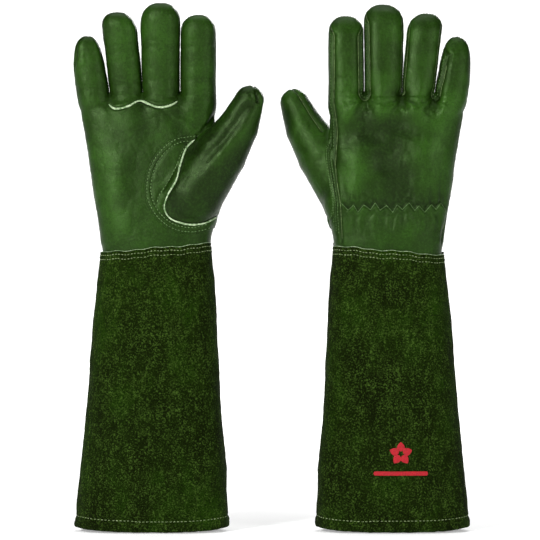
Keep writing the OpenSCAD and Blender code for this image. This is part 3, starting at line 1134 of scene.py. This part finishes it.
def cuff_surface(front):
    """The cuff's outer face: points and normals, by row from the top and by column across."""
    t = cuff_angles(front)
    c, s = np.cos(t), np.sin(t)
    power = 2 / CUFF_POWER
    ox, oy = np.sign(c) * np.abs(c) ** power, np.sign(s) * np.abs(s) ** power
    drop = np.concatenate([np.arange(0.9, 10, 0.7), np.linspace(10.6, CUFF_TOP - 15, 104)])
    drop = np.concatenate([drop, np.arange(CUFF_TOP - 14.2, CUFF_TOP - 1.4, 0.8)])
    hem_z = 3.0 * np.abs(ox) ** 3
    top_z = cuff_edge(WRIST[0] + ox * TOP_HALF[0], front)
    z = top_z - drop[:, None] / CUFF_TOP * (top_z - hem_z)
    share = np.clip(z / CUFF_TOP, 0, 1.05)
    swell = 1.6 * np.sin(math.pi * np.clip(share, 0, 1))
    half_w = HEM_W / 2 + (TOP_HALF[0] - HEM_W / 2) * share
    half_d = HEM_D / 2 + (TOP_HALF[1] - HEM_D / 2) * share + swell
    p = np.stack([WRIST[0] * share + ox * half_w, oy * half_d, z], -1)
    n = outward_normals(p, ox, oy)
    flat = p.reshape(-1, 3)
    depth = np.broadcast_to(drop[:, None], z.shape)
    height = z - hem_z
    soft = 1.5 * cloud(flat * (1, 1, 0.7), 52.0, 4.0) + 0.45 * cloud(flat * (1, 1, 0.8), 17.0, 9.0)
    rough = 0.10 * cloud(flat, 3.0, 6.0, 2)
    puckers = cloud(flat, 6.0, 2.0)
    soft, rough, puckers = (a.reshape(z.shape) for a in (soft, rough, puckers))
    away = ease(depth, 5, 32)
    relief = soft * away + rough * ease(depth, 1, 4)
    for row in ROWS_DOWN:
        relief -= 0.45 * hump(depth - row, 1.0)
    relief += 0.3 * hump(depth - sum(ROWS_DOWN) / 2, 1.2)
    relief -= 0.55 * hump(height - HEM_ROW, 1.2)
    relief += (0.35 + 0.3 * puckers) * hump(height - 5, 4)
    end = np.linalg.norm(p - p[:, :1], axis=-1)
    other = np.linalg.norm(p - p[:, -1:], axis=-1)
    relief -= (1.25 * hump(end, 1.5) + 1.25 * hump(other, 1.5)) * ease(depth, 1, 5)
    relief += (0.35 + 0.25 * puckers) * (hump(end - 4, 2) + hump(other - 4, 2)) * away
    p = p + n * relief[..., None]
    return p, outward_normals(p, ox, oy), drop, height


def cuff_half(front, suede, raw):
    """One panel of the cuff, folded in at the hem, with a pale cut edge at the top."""
    p, n, drop, height = cuff_surface(front)
    rows, columns = p.shape[:2]
    down = unit(p[-1] - p[-2])
    up = unit(p[0] - p[1])
    fold = 1.65
    thick = np.where(height < HEM_FOLD, 2 * fold, SUEDE)
    loop = [p[0] + up * 0.35 - n[0] * 0.5, *p]
    for turn in np.radians([30, 60, 90, 120, 150]):
        loop.append(p[-1] - n[-1] * fold * (1 - math.cos(turn)) + down * fold * math.sin(turn))
    loop += [p[i] - n[i] * thick[i][:, None] for i in reversed(range(rows))]
    loop.append(p[0] + up * 0.35 - n[0] * SUEDE)
    count = len(loop)
    verts = np.array(loop).reshape(-1, 3)
    faces, picks = [], []

    def at(i, j):
        return (i % count) * columns + j

    for i in range(count):
        for j in range(columns - 1):
            faces.append([at(i, j), at(i + 1, j), at(i + 1, j + 1), at(i, j + 1)])
            picks.append(1 if i in (0, count - 1) else 0)
    inner = count - 2
    for j in (0, columns - 1):
        caps = [[at(0, j), at(1, j), at(inner, j), at(inner + 1, j)]]
        caps += [[at(i, j), at(i + 1, j), at(inner - i, j), at(inner - i + 1, j)] for i in range(1, rows)]
        caps.append([at(i, j) for i in range(rows, rows + 7)])
        faces += [c[::-1] for c in caps] if j == 0 else caps
        picks += [0] * len(caps)
    if front:
        faces = [f[::-1] for f in faces]
    side = "palm" if front else "back"
    node = f"cuff_{side}_panel"
    piece(f"cuff_{side}_suede", verts, faces, (suede, raw), "suede", "cuff", (node,), picks=picks)
    return p, n, drop, height


def cuff_rows(surfaces, material):
    """The two rows of stitches under the raw edge, and the row that holds the hem."""
    rows, hems = [], []
    for p, n, drop, height in surfaces:
        for depth in ROWS_DOWN:
            i = int(np.argmin(np.abs(drop - depth)))
            row = even(np.hstack([p[i], n[i]])[2:-2], 0.5)
            rows += stitches(row[:, :3], unit(row[:, 3:]), pitch=2.7, length=1.9, thick=0.62, lift=0.22)
        i = np.argmin(np.abs(height - HEM_ROW), axis=0)
        j = np.arange(p.shape[1])
        row = even(smooth_line(np.hstack([p[i, j], n[i, j]]), 4)[2:-2], 0.5)
        hems += stitches(row[:, :3], unit(row[:, 3:]), pitch=3.1, length=2.3, thick=0.66, lift=0.2)
    piece("cuff_stitches", *join(rows), material, "thread", "cuff", ("cuff_seam_thread",))
    piece("hem_stitches", *join(hems), material, "thread", "cuff", ("hem_thread",))


# ---------------------------------------------------------------- the printed mark

MARK = (-5.8, 64.5)  # the middle of the mark's flower
PETALS = 5
PETAL_IN, PETAL_OUT, PETAL_WIDE = 1.8, 9.5, 6.4  # where each petal starts and ends, and its width
BAR_Z, BAR_HALF, BAR_WIDE = 48.5, 22, 3.4
INK_LIFT, INK_THICK = 0.14, 0.3


def petal(start, end, width):
    """A petal as a grid of flat points."""
    start, end = np.array(start, float), np.array(end, float)
    s = np.linspace(0, 1, 26)[:, None]
    side = unit(np.array([start[1] - end[1], end[0] - start[0]]))
    middle = start + (end - start) * s
    half = width / 2 * np.sin(math.pi * s**0.75) ** 0.8
    t = np.linspace(-1, 1, 11)
    return middle[:, None] + side * (half * t)[..., None]


def bar(low, high, wide):
    """A plain bar with rounded ends as a grid of flat points."""
    s = np.linspace(-1, 1, 60)[:, None]
    half = wide / 2 * np.sqrt(np.clip(1 - np.maximum(np.abs(s) - 0.95, 0) ** 2 / 0.05**2, 0.02, 1))
    middle = (np.array(low) + np.array(high)) / 2 + (np.array(high) - np.array(low)) / 2 * s
    return middle[:, None] + np.array([0, 1]) * (half * np.linspace(-1, 1, 7))[..., None]


def printed_mark(surface, material):
    p = surface[0]
    tree = tree_of(p.reshape(-1, 3), grid(*p.shape[:2]))
    x, z = MARK
    shapes = [bar((x - BAR_HALF, BAR_Z), (x + BAR_HALF, BAR_Z), BAR_WIDE)]
    for i in range(PETALS):
        turn = math.radians(18 + 72 * i)
        c, s = math.cos(turn), math.sin(turn)
        start, end = ((x + r * c, z + r * s) for r in (PETAL_IN, PETAL_OUT))
        shapes.append(petal(start, end, PETAL_WIDE))
    parts = []
    for shape in shapes:
        a, b = shape.shape[:2]
        points, normals = on_surface(tree, shape.reshape(-1, 2), front=False)
        normals = normals * np.sign(normals[:, 1:2])
        verts, _, faces = thicken(points + normals * INK_LIFT, normals, grid(a, b), INK_THICK)
        parts.append((verts, faces))
    piece("printed_mark", *join(parts), material, None, "cuff")


# ---------------------------------------------------------------- materials


def fill(node, values):
    """Sets inputs of a node."""
    for name, value in values.items():
        node.inputs[name].default_value = value


class Shader:
    """A small helper that builds a material from nodes."""

    def __init__(self, name, rough, shine, tint=(1, 1, 1)):
        self.material = bpy.data.materials.new(name)
        self.material.use_nodes = True
        self.tree = self.material.node_tree
        self.main = self.tree.nodes["Principled BSDF"]
        fill(self.main, {"Roughness": rough, "Specular IOR Level": shine, "Specular Tint": (*tint, 1)})
        self.place = self.tree.nodes.new("ShaderNodeAttribute")
        self.place.attribute_name = "rest"

    def node(self, kind, **values):
        n = self.tree.nodes.new("ShaderNode" + kind)
        for key, value in values.items():
            setattr(n, key, value)
        return n

    def link(self, out, into):
        self.tree.links.new(out, into)
        return into

    def pattern(self, kind, size, stretch=(1, 1, 1), **values):
        """A pattern with features about size mm across, fixed to the leather as it lies at rest."""
        scale = self.node("VectorMath", operation="MULTIPLY")
        self.link(self.place.outputs["Vector"], scale.inputs[0])
        scale.inputs[1].default_value = [s / size for s in stretch]
        n = self.node(kind, **values)
        fill(n, {"Scale": 1.0})
        self.link(scale.outputs[0], n.inputs["Vector"])
        return n

    def noise(self, size, detail=3.0, rough=0.55, stretch=(1, 1, 1)):
        n = self.pattern("TexNoise", size, stretch)
        fill(n, {"Detail": detail, "Roughness": rough})
        return n.outputs["Fac"]

    def cells(self, size):
        return self.pattern("TexVoronoi", size, feature="DISTANCE_TO_EDGE").outputs["Distance"]

    def ramp(self, value, *stops):
        n = self.node("ValToRGB")
        parts = n.color_ramp.elements
        while len(parts) < len(stops):
            parts.new(0.5)
        for part, (at, colour) in zip(parts, stops):
            part.position = at
            part.color = (*colour, 1)
        self.link(value, n.inputs["Fac"])
        return n.outputs["Color"]

    def span(self, value, low, high, a=0.0, b=1.0):
        n = self.node("MapRange")
        fill(n, {"From Min": a, "From Max": b, "To Min": low, "To Max": high})
        self.link(value, n.inputs["Value"])
        return n.outputs["Result"]

    def mix(self, share, a, b, kind="MIX"):
        n = self.node("MixRGB", blend_type=kind)
        for into, value in zip((n.inputs["Fac"], n.inputs["Color1"], n.inputs["Color2"]), (share, a, b)):
            if isinstance(value, bpy.types.NodeSocket):
                self.link(value, into)
            elif isinstance(value, float):
                into.default_value = value
            else:
                into.default_value = (*value, 1)
        return n.outputs["Color"]

    def add(self, a, b, share):
        n = self.node("Math", operation="MULTIPLY_ADD")
        self.link(b, n.inputs[0])
        n.inputs[1].default_value = share
        self.link(a, n.inputs[2])
        return n.outputs["Value"]

    def bump(self, height, depth):
        """Bumps that are depth mm high."""
        n = self.node("Bump")
        fill(n, {"Distance": depth * MM, "Strength": 1.0})
        self.link(height, n.inputs["Height"])
        self.link(n.outputs["Normal"], self.main.inputs["Normal"])

    def colour(self, value):
        self.link(value, self.main.inputs["Base Color"])

    def roughness(self, value):
        self.link(value, self.main.inputs["Roughness"])


def srgb(r, g, b):
    return tuple(((c / 255 + 0.055) / 1.055) ** 2.4 if c > 10 else c / 255 / 12.92 for c in (r, g, b))


def leather_material():
    m = Shader("green_leather", 0.42, 0.24, (0.62, 1.0, 0.42))
    # The ramp paints light and shade into the leather's colour from the painted light at each vertex,
    # mixed with random tone
    painted_light_and_tone_value = m.node("Attribute", attribute_name="painted_light_and_tone").outputs["Fac"]
    tone = m.add(m.span(painted_light_and_tone_value, 0.0, 1.0, -3.6, 3.0), m.span(m.noise(26, 3), -1, 1), 0.5)
    base = m.ramp(tone, (0.12, srgb(7, 18, 0)), (0.5, srgb(20, 42, 3)), (0.85, srgb(34, 65, 12)))
    base = m.mix(m.span(m.noise(1.8, 2), 0.0, 0.24, 0.45, 0.7), base, srgb(46, 82, 26))
    base = m.mix(m.span(m.noise(1.3, 1), 0.0, 0.5, 0.45, 0.7), base, srgb(12, 26, 1))
    m.colour(base)
    m.roughness(m.span(m.noise(7, 3), 0.36, 0.5, 0.3, 0.7))
    grain = m.add(m.span(m.cells(1.1), 0, 1, 0, 0.3), m.noise(0.6, 2), 0.4)
    grain = m.add(grain, m.noise(4.0, 3, stretch=(1, 1, 0.5)), 1.0)
    m.bump(grain, 0.05)
    return m.material


def suede_material():
    m = Shader("green_suede", 0.95, 0.1, (0.7, 1.0, 0.4))
    blotches = m.noise(34, 4, 0.6, (1, 1, 0.6))
    base = m.ramp(blotches, (0.36, srgb(7, 13, 0)), (0.5, srgb(13, 25, 1)), (0.66, srgb(20, 42, 2)))
    nap = m.add(m.noise(1.3, 3, 0.7), m.noise(5.0, 3, 0.6, (1, 1, 0.5)), 0.35)
    base = m.mix(m.span(nap, 0.0, 0.85, 0.67, 0.85), base, srgb(58, 82, 28))
    dark = m.noise(1.2, 2)
    base = m.mix(m.span(dark, 0.0, 0.85, 0.5, 0.66), base, srgb(4, 9, 0))
    m.colour(base)
    m.bump(m.add(m.noise(0.6, 2), m.noise(2.4, 4, 0.65), 1.6), 0.45)
    return m.material


def plain_material(name, light, dark, rough, size, depth):
    """Thread, cut edges and the print: two colours mixed at a fine scale over small bumps."""
    m = Shader(name, rough, 0.25)
    m.colour(m.ramp(m.noise(size, 3), (0.35, dark), (0.65, light)))
    m.bump(m.noise(size * 0.5, 2), depth)
    return m.material


# ---------------------------------------------------------------- placing the pieces


PATTERN_SHIFT = {"a": (0, 0, 0), "b": (310.0, 0, 0)}  # gives the two gloves different blotches


def place(item, glove):
    """One of the noted pieces as an object of the given glove."""
    to_row = TO_ROW[glove]
    mesh = new_mesh(f"{glove}_{item['name']}", item["verts"].tolist(), item["faces"])
    mesh.transform(to_row)
    rest = mesh.attributes.new("rest", "FLOAT_VECTOR", "POINT")
    at_rest = item["rest"] + PATTERN_SHIFT[glove]
    rest.data.foreach_set("vector", at_rest.astype(np.float32).ravel())
    if item["painted_light_and_tone"] is not None:
        mesh.attributes.new("painted_light_and_tone", "FLOAT", "POINT").data.foreach_set("value", item["painted_light_and_tone"])
    materials = item["material"]
    for m in materials if isinstance(materials, tuple) else (materials,):
        mesh.materials.append(m)
    if item["picks"] is not None:
        mesh.polygons.foreach_set("material_index", item["picks"])
        mesh.set_sharp_from_angle(angle=math.radians(60))
    if item["normals"] is not None:
        turn = np.array(to_row.to_3x3()) / MM
        mesh.normals_split_custom_set_from_vertices((item["normals"] @ turn.T).tolist())
    mesh.update()
    obj = new_object(mesh.name, mesh)
    body = item["body"]
    if isinstance(body, str):
        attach(obj, f"{glove}_{body}")
    else:
        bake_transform(obj)
    if item["replaces"]:
        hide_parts(*[f"{glove}_{node}" for node in item["replaces"]])
    return obj


def make_gloves():
    leather = leather_material()
    suede = suede_material()
    raw = plain_material("cut_edge", srgb(176, 194, 158), srgb(96, 126, 80), 0.7, 2.2, 0.1)
    dull_edge = plain_material("worn_edge", srgb(104, 128, 76), srgb(40, 58, 20), 0.7, 2.0, 0.05)
    thread = plain_material("green_thread", srgb(96, 128, 74), srgb(48, 74, 30), 0.6, 1.2, 0.05)
    pale_thread = plain_material("pale_thread", srgb(146, 160, 118), srgb(70, 92, 44), 0.6, 1.6, 0.05)
    band = plain_material("elastic_weave", srgb(222, 222, 208), srgb(186, 186, 170), 0.8, 0.8, 0.1)
    red = plain_material("red_print", srgb(172, 16, 30), srgb(132, 10, 22), 0.55, 0.8, 0.05)
    bm, rest, normals, painted_light_and_tone = make_skin()
    skin = tree_of([v.co for v in bm.verts], [[v.index for v in f.verts] for f in bm.faces])
    split_skin(bm, rest, normals, painted_light_and_tone, leather)
    patch_piece(bm, rest, normals, painted_light_and_tone, leather)
    welts(skin, raw)
    sew_hand(bm, rest, skin, thread)
    seam_edges(bm, rest, skin, dull_edge)
    zigzag(skin, thread)
    elastic(skin, band)
    bm.free()
    surfaces = [cuff_half(front, suede, raw) for front in (True, False)]
    cuff_rows(surfaces, pale_thread)
    printed_mark(surfaces[1], red)
    for glove in GLOVES:
        for item in PIECES:
            place(item, glove)


# ---------------------------------------------------------------- the studio


FLOOR_R, SWEEP_R, WALL_HIGH = 1.4, 2.9, 0.95  # metres: the flat floor, the sweep beyond it, and its rise


def studio():
    """A pale floor inside a low pale wall that goes all the way round, soft lights, and the camera."""
    profile = [(0.0, 0.0), (FLOOR_R / 2, 0.0)]
    for turn in range(0, 91, 6):
        a = math.radians(turn)
        profile.append((FLOOR_R + SWEEP_R * math.sin(a), WALL_HIGH - WALL_HIGH * math.cos(a)))
    sides = 72
    verts = [
        (r * math.cos(2 * math.pi * i / sides), r * math.sin(2 * math.pi * i / sides), z)
        for r, z in profile
        for i in range(sides)
    ]
    faces = [[a, d, c, b] for a, b, c, d in grid(len(profile), sides, closed=True)]
    mesh = new_mesh("studio_floor", verts, faces)
    floor = new_object("studio_floor", mesh)
    pale = bpy.data.materials.new("pale_floor")
    pale.use_nodes = True
    shader = pale.node_tree.nodes["Principled BSDF"]
    fill(
        shader,
        {
            "Base Color": (0.85, 0.85, 0.85, 1),
            "Roughness": 0.9,
            "Specular IOR Level": 0.1,
            "Emission Color": (1, 1, 1, 1),
            "Emission Strength": 0.36,
        },
    )
    mesh.materials.append(pale)

    world = bpy.data.worlds.new("studio_world")
    bpy.context.scene.world = world
    world.use_nodes = True
    fill(world.node_tree.nodes["Background"], {"Color": (1, 1, 1, 1), "Strength": 0.03})

    middle = Vector((0, 0, 0.25))
    for name, at, aim, size, power in (
        ("key_light", (-1.15, -1.75, 1.05), middle, 0.4, 47),
        ("fill_light", (1.3, -1.5, 0.8), middle, 0.5, 13),
        ("back_light", (0.6, 2.1, 1.2), middle, 0.6, 24),
        ("top_light", (0.0, 0.3, 3.2), middle, 3.0, 50),
        ("wall_light", (0.0, 2.0, 1.9), Vector((0, 3.6, 0.2)), 1.2, 44),
    ):
        lamp = bpy.data.lights.new(name, "AREA")
        lamp.energy = power
        lamp.size = size
        light = new_object(name, lamp)
        light.location = at
        light.rotation_euler = (aim - Vector(at)).to_track_quat("-Z", "Y").to_euler()

    camera = new_object("camera", bpy.data.cameras.new("camera"))
    away, height_seen = 2.4, 0.4405
    camera.location = (-0.0018, -away, 0.2126)
    camera.rotation_euler = (math.pi / 2, 0, 0)
    camera.data.sensor_width = 36
    camera.data.lens = 36 * away / height_seen
    camera.data.clip_end = 30
    bpy.context.scene.camera = camera
    bpy.context.scene.view_settings.view_transform = "Standard"


make_gloves()
studio()
